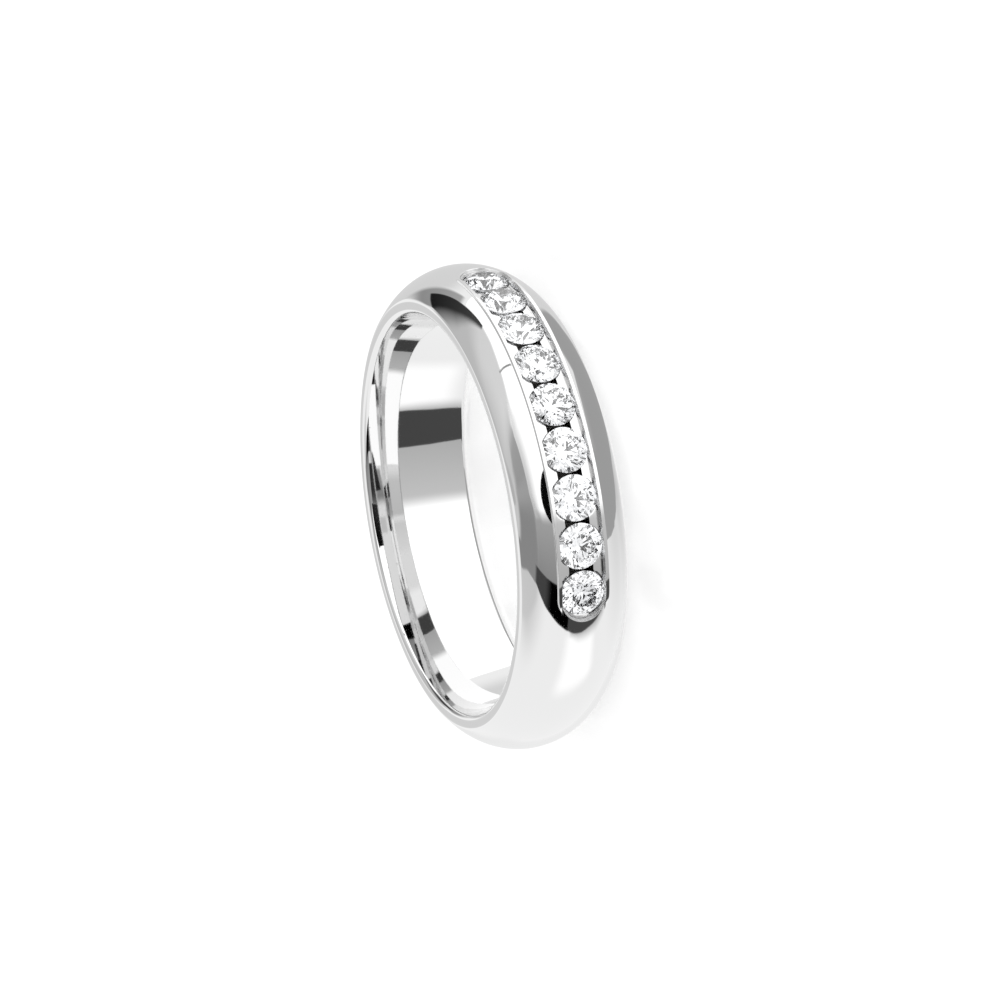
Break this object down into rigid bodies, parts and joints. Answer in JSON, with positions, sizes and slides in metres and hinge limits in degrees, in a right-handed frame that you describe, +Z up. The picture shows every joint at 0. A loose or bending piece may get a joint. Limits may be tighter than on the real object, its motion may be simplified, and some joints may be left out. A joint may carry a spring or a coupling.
{
  "type": "wedding ring",
  "caption": "Domed wedding band of polished white metal, part of its outside set with a row of round brilliant stones held in a channel between two slim rails.",
  "frame": {"origin": "on the floor under the middle of the finger hole, in the plane of the lower side face that the ring lies on", "axes": "+Z up along the finger hole, -Y through the middle stone of the row, +X towards the first stone"},
  "size_m": [0.0208, 0.0208, 0.0047],
  "materials": {
    "polished_white_gold": "mirror polish with faint rubbing marks",
    "cut_diamond": "clear, cut with flat polished facets"
  },
  "bodies": {
    "root": {"band": "polished_white_gold", "stone_1": "cut_diamond", "stone_2": "cut_diamond", "stone_3": "cut_diamond", "stone_4": "cut_diamond", "stone_5": "cut_diamond", "stone_6": "cut_diamond", "stone_7": "cut_diamond", "stone_8": "cut_diamond", "stone_9": "cut_diamond"}
  },
  "joints": []
}
